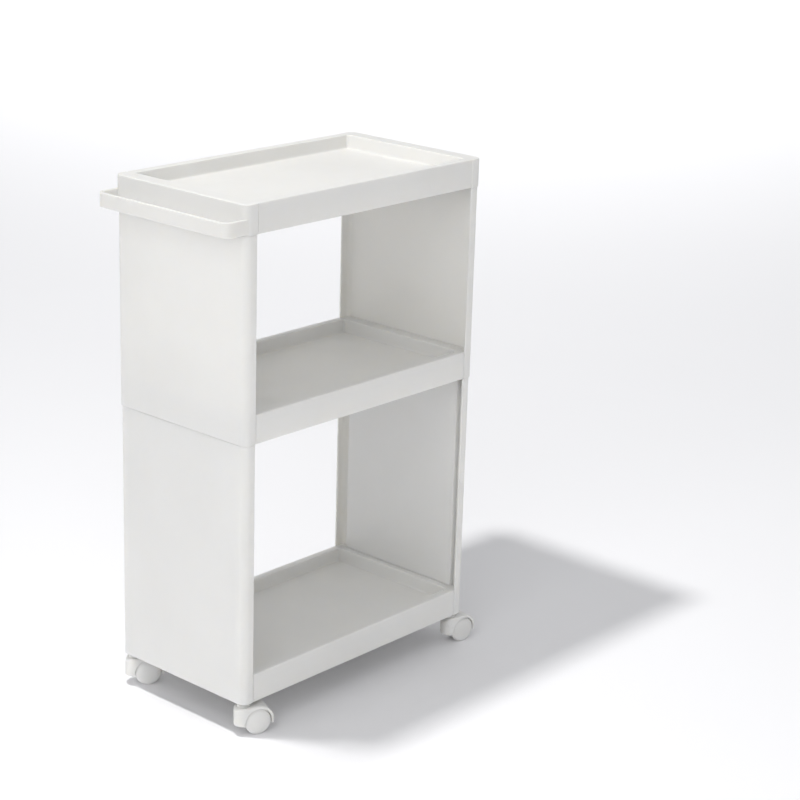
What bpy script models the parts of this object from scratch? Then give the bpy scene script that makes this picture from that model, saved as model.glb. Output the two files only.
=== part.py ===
"""Slim three-tier rolling utility cart: trays, end panels and four swivelling twin-wheel casters.

Metres, +Z up. The origin is on the floor under the middle of the whole object's box. The cart's
long side lies along X, its towel bar is at the -X end, and both long sides (-Y and +Y) are open.
"""

import math

import bmesh
import bpy

# Overall size of the body, over the top tray's corners.
LENGTH = 0.434
WIDTH = 0.238
HEIGHT = 0.700
CORNER_RADIUS = 0.010

# Wall thickness of the moulded parts, and the gap left between parts that touch.
WALL = 0.0025
GAP = 0.0003

# Faces that meet at less than this angle, in radians, count as one flat face.
FLAT_ANGLE = 0.0005

# The tiers: bottom of each skirt above the floor, and the skirt's height.
TIER_HEIGHT = 0.0383
BOTTOM_SHELF_Z = 0.045
MID_SHELF_Z = 0.3960
TOP_TRAY_Z = HEIGHT - TIER_HEIGHT
WELL_DEPTH = 0.019
WELL_RADIUS = 0.004
SIDE_RIM = 0.0120
END_RIM = 0.0225
RIB_WIDTH = 0.002
RIB_CLEARANCE = 0.006
CROSS_RIBS = 3

# The end panels are channels whose flanges return along the long sides to FLANGE_X.
FLANGE_X = 0.019
UPPER_PANEL_INSET = 0.0009
LOWER_PANEL_INSET = 0.0019
RAIL_STEP = 0.0010

# Inner stiffening wall of a lower panel: it also carries the middle shelf.
STIFFENER_DEPTH = 0.012
STIFFENER_SIDE = 0.018
STIFFENER_WALL = 0.002

# Snap tabs on top of the panels, hidden inside the tier above.
TAB_WIDTH = 0.030
TAB_RISE = 0.011
TAB_SPREAD = 0.060
TAB_WALL = 0.002

# Towel bar: a flat band bent in a U, moulded on the top tray's end.
BAR_REACH = 0.032
BAR_WALL = 0.004
BAR_BOTTOM = 0.6630
BAR_HEIGHT = 0.0190
BAR_RADIUS = 0.012
ARM_INSET = 0.0018

# Casters: stem axis in from the body's faces, then sizes in the caster's own frame. That frame has
# its origin on the floor under the stem, and the wheels trail along +X.
STEM_INSET = 0.014
TRAIL = 0.016
WHEEL_RADIUS = 0.0175
WHEEL_INNER = 0.0052
WHEEL_OUTER = 0.0135
WEB_HALF = 0.0046
HOOD_HALF_WIDTH = 0.0131
HOOD_RADIUS = 0.0222
HOOD_WELL_RADIUS = 0.0185
HOOD_SKIRT_Z = 0.0140
HOOD_TOP = 0.0420
HUB_RADIUS = 0.0065
AXLE_RADIUS = 0.0020
AXLE_HALF = 0.0112
SHANK_RADIUS = 0.0030
STEM_RADIUS = 0.0040
STEM_TOP = 0.0735
SOCKET_RADIUS = 0.0058
SOCKET_TOP = 0.0750
RING_Z = 0.0690
BOSS_RADIUS = 0.0078
BOSS_BORE_TOP = 0.0790

# Which way each caster's wheels trail at rest, in degrees from +X.
HEADINGS = {
    "rear_right": -22.0,
    "rear_left": -32.0,
    "front_right": -10.0,
    "front_left": 22.0,
}

# The front right caster reaches furthest along +X and the towel bar along -X. The body is placed
# so that the middle of that span is at the origin.
_REACH_ANGLE = math.radians(abs(HEADINGS["front_right"]))
CASTER_REACH = (
    (TRAIL + HOOD_RADIUS) * math.cos(_REACH_ANGLE)
    + HOOD_HALF_WIDTH * math.sin(_REACH_ANGLE)
    - STEM_INSET
)
LOW_X = (BAR_REACH - CASTER_REACH - LENGTH) / 2
HIGH_X = LOW_X + LENGTH
HALF_WIDTH = WIDTH / 2

WHITE_PLASTIC = ("white_plastic", (0.80, 0.80, 0.78, 1.0), 0.42, 0.0)
CASTER_PLASTIC = ("caster_plastic", (0.66, 0.66, 0.63, 1.0), 0.35, 0.0)
SOCKET_PLASTIC = ("socket_plastic", (0.72, 0.72, 0.70, 1.0), 0.45, 0.0)
STEEL = ("zinc_steel", (0.62, 0.62, 0.64, 1.0), 0.30, 1.0)


# ---------------------------------------------------------------- scene and materials


def clear_scene():
    for obj in list(bpy.data.objects):
        bpy.data.objects.remove(obj, do_unlink=True)


def new_collection(name):
    collection = bpy.data.collections.new(name)
    bpy.context.scene.collection.children.link(collection)
    return collection


def paint(obj, finish, own_name):
    """Gives obj a material of its own, with the finish's colour, roughness and metallic value."""
    _, colour, roughness, metallic = finish
    material = bpy.data.materials.new(own_name + "_material")
    material.use_nodes = True
    shader = material.node_tree.nodes["Principled BSDF"]
    shader.inputs["Base Color"].default_value = colour
    shader.inputs["Roughness"].default_value = roughness
    shader.inputs["Metallic"].default_value = metallic
    if not obj.material_slots:
        obj.data.materials.append(None)
    obj.material_slots[0].link = "OBJECT"
    obj.material_slots[0].material = material


def publish(obj, name, finish, parent=None):
    """Names a finished piece and puts it in the cart's collection."""
    for collection in list(obj.users_collection):
        collection.objects.unlink(obj)
    PARTS.objects.link(obj)
    obj.name = name
    obj.parent = parent
    paint(obj, finish, name)
    return obj


# ---------------------------------------------------------------- outlines


def arc(centre, radius, start, end, steps):
    """Points on an arc, from start to end in degrees."""
    points = []
    for i in range(steps + 1):
        angle = math.radians(start + (end - start) * i / steps)
        points.append((centre[0] + radius * math.cos(angle), centre[1] + radius * math.sin(angle)))
    return points


def rounded_rectangle(low_x, high_x, half_y, radius, steps=6):
    """A rectangle with round corners, centred on the X axis."""
    points = []
    corners = (
        (high_x - radius, half_y - radius, 0),
        (low_x + radius, half_y - radius, 90),
        (low_x + radius, -half_y + radius, 180),
        (high_x - radius, -half_y + radius, 270),
    )
    for x, y, start in corners:
        points += arc((x, y), radius, start, start + 90, steps)
    return points


# ---------------------------------------------------------------- solids


def finished(obj, name=None):
    """A mesh object with obj's modifiers or curve settings made real. obj itself is removed.

    Flat areas become single faces, so no sliver triangle is left for a Boolean to trip over.
    """
    bpy.context.view_layer.update()
    evaluated = obj.evaluated_get(bpy.context.evaluated_depsgraph_get())
    mesh = bpy.data.meshes.new_from_object(evaluated)
    place = obj.matrix_world.copy()
    work = bmesh.new()
    work.from_mesh(mesh)
    bmesh.ops.remove_doubles(work, verts=work.verts, dist=0.00001)
    bmesh.ops.dissolve_limit(work, angle_limit=FLAT_ANGLE, verts=work.verts, edges=work.edges)
    work.to_mesh(mesh)
    work.free()
    mesh.transform(place)
    made = bpy.data.objects.new(name or obj.name, mesh)
    WORK.objects.link(made)
    bpy.data.objects.remove(obj, do_unlink=True)
    return made


def plate(name, outlines, bottom, top):
    """A flat plate between two heights. The first outline is its edge and any others are holes."""
    curve = bpy.data.curves.new(name, "CURVE")
    curve.dimensions = "2D"
    curve.fill_mode = "BOTH"
    curve.extrude = (top - bottom) / 2
    for outline in outlines:
        spline = curve.splines.new("POLY")
        spline.points.add(len(outline) - 1)
        for point, (x, y) in zip(spline.points, outline):
            point.co = (x, y, 0.0, 1.0)
        spline.use_cyclic_u = True
    obj = bpy.data.objects.new(name, curve)
    WORK.objects.link(obj)
    obj.location.z = (bottom + top) / 2
    return finished(obj)


def box(name, low, high):
    """A block between two corners, from the cube primitive."""
    bpy.ops.mesh.primitive_cube_add(size=1.0)
    obj = bpy.context.object
    obj.name = name
    obj.scale = [b - a for a, b in zip(low, high)]
    obj.location = [(a + b) / 2 for a, b in zip(low, high)]
    return finished(obj, name)


def rod(name, radius, low, high, axis="Z", centre=(0.0, 0.0), segments=16):
    """A cylinder from low to high along Z or Y. centre is its place across that axis."""
    bpy.ops.mesh.primitive_cylinder_add(vertices=segments, radius=radius, depth=high - low)
    obj = bpy.context.object
    obj.name = name
    middle = (low + high) / 2
    if axis == "Z":
        obj.location = (centre[0], centre[1], middle)
    else:
        obj.rotation_euler.x = math.radians(90)
        obj.location = (centre[0], middle, centre[1])
    return finished(obj, name)


def turned(name, profile, closed, segments):
    """A turned piece: profile is (radius, height) pairs, from the top down its outer side."""
    mesh = bpy.data.meshes.new(name)
    count = len(profile)
    edges = [(i, i + 1) for i in range(count - 1)]
    if closed:
        edges.append((count - 1, 0))
    mesh.from_pydata([(r, 0.0, z) for r, z in profile], edges, [])
    obj = bpy.data.objects.new(name, mesh)
    WORK.objects.link(obj)
    screw = obj.modifiers.new("Turn", "SCREW")
    screw.angle = math.tau
    screw.steps = segments
    screw.render_steps = segments
    screw.use_merge_vertices = True
    screw.merge_threshold = 0.00001
    return finished(obj, name)


def combine(target, operation, tools):
    """Unites target with the tools, cuts them out of it or keeps what they share."""
    for tool in tools:
        for collection in list(tool.users_collection):
            collection.objects.unlink(tool)
        CUTTERS.objects.link(tool)
        tool.hide_render = True
        tool.display_type = "WIRE"
        step = target.modifiers.new(operation.title(), "BOOLEAN")
        step.operation = operation
        step.solver = "EXACT"
        step.object = tool
    return target


def smooth(obj, degrees=35.0):
    obj.data.shade_smooth()
    obj.data.set_sharp_from_angle(angle=math.radians(degrees))
    return obj


# ---------------------------------------------------------------- trays and shelves


def tier_block(name, end_inset, rail_inset, step_x, radius, bottom, top):
    """A solid block with a tier's outline.

    Its ends lie end_inset inside the body, and its rails, between the end panels, rail_inset.
    """
    half_end, half_rail = HALF_WIDTH - end_inset, HALF_WIDTH - rail_inset
    outline = rounded_rectangle(LOW_X + end_inset, HIGH_X - end_inset, half_end, radius)
    block = plate(name, [outline], bottom, top)
    low_x, high_x = LOW_X + step_x, HIGH_X - step_x
    if rail_inset < end_inset:
        rails = box(name + "_rails", (low_x, -half_rail, bottom), (high_x, half_rail, top))
        combine(block, "UNION", [rails])
    else:
        recesses = []
        for side in (-1, 1):
            near, far = sorted((side * half_rail, side * (half_end + 0.010)))
            low, high = (low_x, near, bottom - 0.020), (high_x, far, top + 0.020)
            recesses.append(box(name + "_recess", low, high))
        combine(block, "DIFFERENCE", recesses)
    return finished(block)


def tier_solid(name, bottom, end_inset, rail_inset, step_x, end_rim, radius):
    """A moulded tray: a skirt all round, a hollow rim, a sunken floor and ribs under the floor."""
    top = bottom + TIER_HEIGHT
    floor_top = top - WELL_DEPTH
    floor_bottom = floor_top - WALL
    body = tier_block(name, end_inset, rail_inset, step_x, radius, bottom, top)
    inner_step = step_x + (WALL if end_inset > rail_inset else 0.0)
    hollow = tier_block(
        name + "_hollow",
        end_inset + WALL,
        rail_inset + WALL,
        inner_step,
        radius - WALL,
        bottom - 0.010,
        top - WALL,
    )
    well_x = (LOW_X + end_rim, HIGH_X - end_rim)
    well_half = HALF_WIDTH - rail_inset - SIDE_RIM
    well_outline = rounded_rectangle(*well_x, well_half, WELL_RADIUS)
    wall_outline = rounded_rectangle(
        well_x[0] - WALL, well_x[1] + WALL, well_half + WALL, WELL_RADIUS + WALL
    )
    basin = plate(name + "_basin", [wall_outline], floor_bottom, top - WALL / 2)
    well = plate(name + "_well", [well_outline], floor_top, top + 0.010)
    combine(body, "DIFFERENCE", [hollow])
    combine(body, "UNION", [basin])
    combine(body, "DIFFERENCE", [well])
    combine(body, "UNION", floor_ribs(name, bottom, floor_bottom, rail_inset))
    return body


def floor_ribs(name, bottom, floor_bottom, rail_inset):
    """Ribs under a floor, from rail to rail. Their ends sink into the rails."""
    half_y = HALF_WIDTH - rail_inset - WALL / 2
    rib_bottom = bottom + RIB_CLEARANCE
    rib_top = floor_bottom + WALL / 2
    ribs = []
    for i in range(CROSS_RIBS):
        x = LOW_X + LENGTH * (i + 1) / (CROSS_RIBS + 1)
        low = (x - RIB_WIDTH / 2, -half_y, rib_bottom)
        high = (x + RIB_WIDTH / 2, half_y, rib_top)
        ribs.append(box(f"{name}_rib_{i + 1}", low, high))
    return ribs


def towel_bar():
    """The U-shaped band. The ends of its arms run into the tray's round corners."""
    outer_root_x = LOW_X + 0.7 * CORNER_RADIUS
    inner_root_x = LOW_X + CORNER_RADIUS / 3
    tip_x = LOW_X - BAR_REACH
    outer = HALF_WIDTH - ARM_INSET
    inner = outer - BAR_WALL
    inner_radius = BAR_RADIUS - BAR_WALL
    centre_x, centre_y = tip_x + BAR_RADIUS, outer - BAR_RADIUS
    outline = [(outer_root_x, -outer)]
    outline += arc((centre_x, -centre_y), BAR_RADIUS, 270, 180, 6)
    outline += arc((centre_x, centre_y), BAR_RADIUS, 180, 90, 6)
    outline += [(outer_root_x, outer), (inner_root_x, inner)]
    outline += arc((centre_x, centre_y), inner_radius, 90, 180, 6)
    outline += arc((centre_x, -centre_y), inner_radius, 180, 270, 6)
    outline += [(inner_root_x, -inner)]
    return plate("towel_bar", [outline], BAR_BOTTOM, BAR_BOTTOM + BAR_HEIGHT)


def top_tray():
    body = tier_solid(
        "top_tray", TOP_TRAY_Z, 0.0, RAIL_STEP, FLANGE_X, END_RIM, CORNER_RADIUS
    )
    combine(body, "UNION", [towel_bar()])
    return publish(body, "top_tray", WHITE_PLASTIC)


def shelf_insets(panel_inset):
    """How far a shelf's ends and rails lie inside the body, for the panels that hold it."""
    return panel_inset + WALL + GAP, panel_inset + RAIL_STEP


def mid_shelf():
    end_inset, rail_inset = shelf_insets(UPPER_PANEL_INSET)
    body = tier_solid(
        "mid_shelf",
        MID_SHELF_Z,
        end_inset,
        rail_inset,
        FLANGE_X + GAP,
        END_RIM,
        CORNER_RADIUS - WALL - GAP,
    )
    return publish(body, "mid_shelf", WHITE_PLASTIC)


def bottom_shelf():
    """As the middle shelf, with a boss in each corner for a caster's socket."""
    end_inset, rail_inset = shelf_insets(LOWER_PANEL_INSET)
    body = tier_solid(
        "bottom_shelf",
        BOTTOM_SHELF_Z,
        end_inset,
        rail_inset,
        FLANGE_X + GAP,
        END_RIM,
        CORNER_RADIUS - WALL - GAP,
    )
    boss_top = BOTTOM_SHELF_Z + TIER_HEIGHT - WALL / 2
    bosses = []
    bores = []
    for place, (x, y) in STEMS.items():
        boss = rod(place + "_boss", BOSS_RADIUS, BOTTOM_SHELF_Z, boss_top, centre=(x, y))
        bore_bottom = BOTTOM_SHELF_Z - 0.010
        bore = rod(
            place + "_bore", SOCKET_RADIUS + GAP, bore_bottom, BOSS_BORE_TOP, centre=(x, y)
        )
        bosses.append(boss)
        bores.append(bore)
    combine(body, "UNION", bosses)
    combine(body, "DIFFERENCE", bores)
    return publish(body, "bottom_shelf", WHITE_PLASTIC)


# ---------------------------------------------------------------- end panels


def channel_outline(inset, side):
    """A panel seen from above, as a closed outline. side is -1 for the towel bar's end."""
    face = -inset if side > 0 else inset
    end = HIGH_X if side > 0 else LOW_X
    half = HALF_WIDTH - inset
    flange_end = end - side * FLANGE_X
    radius = CORNER_RADIUS
    centre_x = end + face - side * radius
    outer = mirrored_corner(centre_x, half - radius, radius, side)
    inner = mirrored_corner(centre_x, half - radius, radius - WALL, side)
    outline = [(flange_end, -half)] + outer + [(flange_end, half)]
    outline += [(flange_end, half - WALL)] + inner[::-1] + [(flange_end, WALL - half)]
    return outline


def mirrored_corner(centre_x, centre_y, radius, side):
    """The two round corners of one end, from -Y to +Y."""
    low = arc((centre_x, -centre_y), radius, 270, 270 + side * 90, 6)
    high = arc((centre_x, centre_y), radius, 90 - side * 90, 90, 6)
    return low + high


def snap_tabs(name, side, x_from_face, low_z, high_z):
    """Two upright tabs near the middle of a panel's end wall."""
    end = HIGH_X if side > 0 else LOW_X
    near = end - side * x_from_face
    far = end - side * (x_from_face + TAB_WALL)
    tabs = []
    for i, y in enumerate((-TAB_SPREAD, TAB_SPREAD)):
        low = (min(near, far), y - TAB_WIDTH / 2, low_z)
        high = (max(near, far), y + TAB_WIDTH / 2, high_z)
        tabs.append(box(f"{name}_tab_{i + 1}", low, high))
    return tabs


def upper_panel(name, side):
    bottom = MID_SHELF_Z
    top = TOP_TRAY_Z - GAP
    body = plate(name, [channel_outline(UPPER_PANEL_INSET, side)], bottom, top)
    tab_low = top - 0.012
    combine(body, "UNION", snap_tabs(name, side, WALL + GAP, tab_low, top + TAB_RISE))
    return publish(body, name, WHITE_PLASTIC)


def lower_panel(name, side):
    """A channel with an inner stiffening wall between the two shelves, open above and below."""
    bottom = BOTTOM_SHELF_Z
    top = MID_SHELF_Z - GAP
    body = plate(name, [channel_outline(LOWER_PANEL_INSET, side)], bottom, top)
    end = HIGH_X if side > 0 else LOW_X
    root_x = end - side * (LOWER_PANEL_INSET + WALL / 2)
    wall_x = end - side * (STIFFENER_DEPTH - STIFFENER_WALL)
    face_x = end - side * STIFFENER_DEPTH
    half = HALF_WIDTH - STIFFENER_SIDE
    inner = half - STIFFENER_WALL
    outline = [(root_x, -half), (face_x, -half), (face_x, half), (root_x, half)]
    outline += [(root_x, inner), (wall_x, inner), (wall_x, -inner), (root_x, -inner)]
    wall_bottom = BOTTOM_SHELF_Z + TIER_HEIGHT + GAP
    stiffener = plate(name + "_stiffener", [outline], wall_bottom, top)
    tab_low = top - 0.012
    tab_x = STIFFENER_DEPTH - STIFFENER_WALL
    tabs = snap_tabs(name, side, tab_x - 0.0005, tab_low, top + TAB_RISE)
    combine(body, "UNION", [stiffener] + tabs)
    return publish(body, name, WHITE_PLASTIC)


# ---------------------------------------------------------------- casters


def mesh_of(obj):
    """The mesh of a finished object, which is itself removed."""
    mesh = obj.data
    bpy.data.objects.remove(obj, do_unlink=True)
    return mesh


def hood_mesh():
    """The caster's hood: a web between the wheels, a fender over them and a nose at the stem."""
    axle = (TRAIL, WHEEL_RADIUS)
    skirt = math.degrees(math.asin((WHEEL_RADIUS - HOOD_SKIRT_Z) / HOOD_RADIUS))
    hub = math.degrees(math.asin((WHEEL_RADIUS - HOOD_SKIRT_Z) / HUB_RADIUS))
    nose_radius = 0.010
    nose_x = nose_radius - HOOD_HALF_WIDTH
    shoulder_z = WHEEL_RADIUS + HOOD_RADIUS
    side_view = arc(axle, HOOD_RADIUS, -skirt, 90, 14)
    side_view += arc((nose_x, shoulder_z - nose_radius), nose_radius, 90, 180, 5)
    side_view += [(-HOOD_HALF_WIDTH, HOOD_SKIRT_Z)]
    side_view += arc(axle, HUB_RADIUS, 180 + hub, 360 - hub, 8)
    hood = plate("hood", [side_view], -HOOD_HALF_WIDTH, HOOD_HALF_WIDTH)
    hood.rotation_euler.x = math.radians(90)
    hood = finished(hood)

    tail_x = TRAIL + HOOD_RADIUS + 0.001
    tail_radius = 0.004
    tail_y = HOOD_HALF_WIDTH - 0.0002
    plan = arc((0.0, 0.0), tail_y, 90, 270, 14)
    plan += arc((tail_x - tail_radius, tail_radius - tail_y), tail_radius, 270, 360, 4)
    plan += arc((tail_x - tail_radius, tail_y - tail_radius), tail_radius, 0, 90, 4)
    combine(hood, "INTERSECT", [plate("hood_plan", [plan], 0.0, 0.060)])
    collar = rod("hood_collar", 0.0085, shoulder_z - 0.004, HOOD_TOP, segments=20)
    combine(hood, "UNION", [collar])
    wells = []
    for side in (-1, 1):
        ends = sorted((side * WEB_HALF, side * (HOOD_HALF_WIDTH + 0.005)))
        wells.append(rod("wheel_well", HOOD_WELL_RADIUS, *ends, "Y", axle, 40))
    stem_bore = rod("stem_bore", SHANK_RADIUS + GAP, 0.0200, HOOD_TOP + 0.005)
    axle_bore = rod("axle_bore", AXLE_RADIUS + GAP, -0.010, 0.010, "Y", axle)
    combine(hood, "DIFFERENCE", wells + [stem_bore, axle_bore])
    return mesh_of(smooth(finished(hood)))


def wheel_mesh():
    """A wheel with a domed outer face (+Z) and a recess round its blind hub (-Z)."""
    half = (WHEEL_OUTER - WHEEL_INNER) / 2
    bore = AXLE_RADIUS + GAP
    rim_radius = WHEEL_RADIUS - 0.0025
    hub_radius = 0.0060
    recess_z = half - 0.0045
    profile = [
        (0.0, half),
        (WHEEL_RADIUS * 0.62, half - 0.0006),
        (WHEEL_RADIUS - 0.0016, half - 0.0022),
        (WHEEL_RADIUS, half - 0.0042),
        (WHEEL_RADIUS, -half),
        (rim_radius, -half),
        (rim_radius, recess_z),
        (hub_radius, recess_z),
        (hub_radius, -half),
        (bore, -half),
        (bore, half - 0.0018),
        (0.0, half - 0.0018),
    ]
    return mesh_of(smooth(turned("wheel", profile, False, 24)))


def stem_mesh():
    """The steel stem: a thin shank in the hood, a thick end in the socket, a groove for the ring."""
    groove = SHANK_RADIUS + 0.0002
    profile = [
        (0.0, STEM_TOP),
        (STEM_RADIUS - 0.0006, STEM_TOP),
        (STEM_RADIUS, STEM_TOP - 0.0006),
        (STEM_RADIUS, RING_Z + 0.0013),
        (groove, RING_Z + 0.0013),
        (groove, RING_Z - 0.0013),
        (STEM_RADIUS, RING_Z - 0.0013),
        (STEM_RADIUS, HOOD_TOP + GAP),
        (SHANK_RADIUS, HOOD_TOP + GAP),
        (SHANK_RADIUS, 0.0203),
        (0.0, 0.0203),
    ]
    return mesh_of(smooth(turned("stem", profile, False, 16)))


def ring_mesh():
    """The spring ring that clips the stem into its socket, with a slot in it."""
    low, high = RING_Z - 0.0010, RING_Z + 0.0010
    inner, outer = SHANK_RADIUS + 0.0005, STEM_RADIUS + 0.0009
    ring = turned("ring", [(outer, high), (outer, low), (inner, low), (inner, high)], True, 16)
    slot = box("ring_slot", (0.0, -0.0012, low - 0.001), (0.008, 0.0012, high + 0.001))
    combine(ring, "DIFFERENCE", [slot])
    return mesh_of(smooth(finished(ring)))


def socket_mesh():
    """The plastic socket in the shelf's boss, with a flange under the shelf."""
    bore = STEM_RADIUS + GAP
    recess = STEM_RADIUS + 0.0012
    flange_bottom = HOOD_TOP + 2 * GAP
    flange_top = BOTTOM_SHELF_Z - GAP
    profile = [
        (SOCKET_RADIUS, SOCKET_TOP),
        (SOCKET_RADIUS, flange_top),
        (SOCKET_RADIUS + 0.0028, flange_top),
        (SOCKET_RADIUS + 0.0028, flange_bottom),
        (bore, flange_bottom),
        (bore, RING_Z - 0.0015),
        (recess, RING_Z - 0.0015),
        (recess, RING_Z + 0.0015),
        (bore, RING_Z + 0.0015),
        (bore, SOCKET_TOP),
    ]
    return mesh_of(smooth(turned("socket", profile, True, 16)))


def axle_mesh():
    """The steel axle, along Y."""
    return mesh_of(smooth(rod("axle", AXLE_RADIUS, -AXLE_HALF, AXLE_HALF, "Y")))


def instance(name, mesh, finish, parent):
    """One more object that shows mesh, placed by its parent."""
    obj = bpy.data.objects.new(name, mesh)
    WORK.objects.link(obj)
    return publish(obj, name, finish, parent)


def pivot(name, location, parent=None, rotation=(0.0, 0.0, 0.0)):
    """An empty on a joint's axis."""
    empty = bpy.data.objects.new(name, None)
    empty.empty_display_size = 0.01
    empty.location = location
    empty.rotation_euler = rotation
    empty.parent = parent
    PARTS.objects.link(empty)
    return empty


def casters():
    """Four casters: each turns on its stem, and its two wheels turn on one axle."""
    meshes = {
        "socket": socket_mesh(),
        "stem": stem_mesh(),
        "ring": ring_mesh(),
        "hood": hood_mesh(),
        "axle": axle_mesh(),
        "wheel": wheel_mesh(),
    }
    wheel_middle = (WHEEL_INNER + WHEEL_OUTER) / 2
    for place, (x, y) in STEMS.items():
        name = place + "_caster_"
        heading = (0.0, 0.0, math.radians(HEADINGS[place]))
        mounting = pivot(name + "mounting", (x, y, 0.0))
        instance(name + "socket", meshes["socket"], SOCKET_PLASTIC, mounting)
        swivel = pivot(name + "swivel", (x, y, 0.0), rotation=heading)
        instance(name + "stem", meshes["stem"], STEEL, swivel)
        instance(name + "ring", meshes["ring"], STEEL, swivel)
        instance(name + "hood", meshes["hood"], CASTER_PLASTIC, swivel)
        axle_line = pivot(name + "axle_line", (TRAIL, 0.0, WHEEL_RADIUS), swivel)
        instance(name + "axle", meshes["axle"], STEEL, axle_line)
        for side, sign in (("left", 1), ("right", -1)):
            wheel = instance(name + "wheel_" + side, meshes["wheel"], CASTER_PLASTIC, axle_line)
            wheel.location.y = sign * wheel_middle
            wheel.rotation_euler.x = math.radians(-90 * sign)


# ---------------------------------------------------------------- the cart


STEMS = {
    "rear_right": (LOW_X + STEM_INSET, STEM_INSET - HALF_WIDTH),
    "rear_left": (LOW_X + STEM_INSET, HALF_WIDTH - STEM_INSET),
    "front_right": (HIGH_X - STEM_INSET, STEM_INSET - HALF_WIDTH),
    "front_left": (HIGH_X - STEM_INSET, HALF_WIDTH - STEM_INSET),
}

clear_scene()
PARTS = new_collection("rolling_utility_cart")
CUTTERS = new_collection("cutters")
WORK = new_collection("work")

top_tray()
mid_shelf()
bottom_shelf()
for end_name, end_side in (("handle_end", -1), ("far_end", 1)):
    upper_panel(end_name + "_upper_panel", end_side)
    lower_panel(end_name + "_lower_panel", end_side)
casters()

bpy.data.collections.remove(WORK)
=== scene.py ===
import math

import bmesh
import bpy
from mathutils import Matrix, Vector


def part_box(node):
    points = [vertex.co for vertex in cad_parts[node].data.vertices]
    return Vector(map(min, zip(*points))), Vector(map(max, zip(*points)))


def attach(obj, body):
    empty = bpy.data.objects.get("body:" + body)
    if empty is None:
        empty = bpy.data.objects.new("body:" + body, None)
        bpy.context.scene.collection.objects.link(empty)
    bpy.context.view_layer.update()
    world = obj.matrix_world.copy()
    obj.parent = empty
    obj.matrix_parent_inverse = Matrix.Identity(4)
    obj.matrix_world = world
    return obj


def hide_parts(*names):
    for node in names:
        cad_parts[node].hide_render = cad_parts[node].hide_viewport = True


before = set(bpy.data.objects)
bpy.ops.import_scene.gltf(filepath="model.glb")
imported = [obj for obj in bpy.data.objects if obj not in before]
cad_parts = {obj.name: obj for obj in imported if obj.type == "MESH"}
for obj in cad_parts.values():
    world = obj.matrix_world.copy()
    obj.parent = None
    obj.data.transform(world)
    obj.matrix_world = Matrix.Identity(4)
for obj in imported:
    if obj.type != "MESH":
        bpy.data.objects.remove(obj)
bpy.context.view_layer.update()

# ---------------------------------------------------------------- sizes, in metres

# The body. Z is up, X runs from the towel bar's end to the far end, Y from side to side.
WALL = 0.0025  # thickness of the mouldings
GAP = 0.0003  # between a panel and the tray or shelf beside it
UPPER_INSET = 0.0009  # the upper panels stand back from the top tray's skin
LOWER_INSET = 0.0019  # the lower panels stand back a little more
RAIL_STEP = 0.0010  # a long side stands back by this from the corners beside it
FLANGE_X = 0.0190  # how far a panel's flange reaches along a long side
CORNER = 0.0100
SIDE_RIM = 0.0120  # from the skin to the well, on the long sides
END_RIM = 0.0225  # and at the ends
WELL_DEPTH = 0.0190
WELL_CORNER = 0.0040

LOW_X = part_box("handle_end_upper_panel")[0][0] - UPPER_INSET
HIGH_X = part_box("far_end_upper_panel")[1][0] + UPPER_INSET
HALF_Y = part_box("far_end_upper_panel")[1][1] + UPPER_INSET
TRAY_LOW, TRAY_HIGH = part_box("top_tray")
MID_LOW, MID_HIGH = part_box("mid_shelf")
BOTTOM_LOW, BOTTOM_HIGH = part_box("bottom_shelf")

# The towel bar.
BAR_TIP_X = TRAY_LOW[0]
BAR_WALL = 0.0040
BAR_BOTTOM = 0.6630
BAR_TOP = 0.6820
BAR_CORNER = 0.0120
BAR_ROUND = 0.0011
ARM_INSET = 0.0018  # the arms stand back from the tray's long sides

# The edges of the trays and shelves.
RIM_ROUND = 0.0016
WELL_ROUND = 0.0012
FLOOR_FILLET = 0.0026
WELL_DRAFT = 0.0008  # the well narrows by this on its way down
EDGE_ROUND = 0.0005  # the lower edge
STEP_ROUND = 0.0002  # the corners of the step between a flange and a long side
SLOT_WIDTH = 0.0016  # the slot at the top tray's step, at the towel bar's end
SLOT_DEPTH = 0.0012
NEAR_SLACK = 0.0014  # how much wider the gap beside a shelf is at the towel bar's end
PLAIN_INSET = 0.0045  # of the loop between skin and well, which has no steps
PROUD_OFFSETS = (0.0015, 0.0028, 0.0047, 0.0067)  # its turns, from the step
SET_BACK_OFFSETS = (-0.0026, -0.0024, 0.0040, 0.0042)
CROSS_RIBS = 3  # under each floor
RIB_HALF = 0.0010
RIB_RISE = 0.0060  # from the tray's lower edge to a rib's

# The end panels.
PANEL_ROUND = 0.0006
FREE_EDGE_ROUND = 0.0008
SEAM = 0.0007  # the step round a panel's top, which draws the line under a tray
SEAM_ROUND = 0.0003
STIFFENER_DEPTH = 0.0120
STIFFENER_SIDE = 0.0180
STIFFENER_WALL = 0.0020
STIFFENER_ROUND = 0.0005
TAB_Y = 0.0600
TAB_HALF = 0.0150
TAB_WALL = 0.0020
TAB_ROOT = 0.0120  # of a tab, below the panel's top

# The casters. Each is modelled with its stem on the Z axis and its wheels towards +X.
TRAIL = 0.0160  # from the stem to the axle
WHEEL_RADIUS = 0.0175
WHEEL_INNER = 0.0052  # a wheel's two faces, from the caster's middle
WHEEL_OUTER = 0.0135
WHEEL_DOME = 0.0034
WHEEL_HALF = (WHEEL_OUTER - WHEEL_INNER) / 2
SPOKES = 6
WEB_HALF = 0.0046
HUB_RADIUS = 0.0065
HOOD_HALF = 0.0131
HOOD_RADIUS = 0.0222
HOOD_WELL = 0.0185  # the radius cut out of the hood for a wheel
HOOD_SKIRT = 0.0140  # the height of its lower edge
HOOD_TOP = 0.0420
HOOD_SHOULDER = WHEEL_RADIUS + HOOD_RADIUS
NOSE_ROUND = 0.0100
TAIL_ROUND = 0.0040
HOOD_EDGE_ROUND = 0.0022
COLLAR_RADIUS = 0.0085
COLLAR_ROUND = 0.0008
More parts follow.
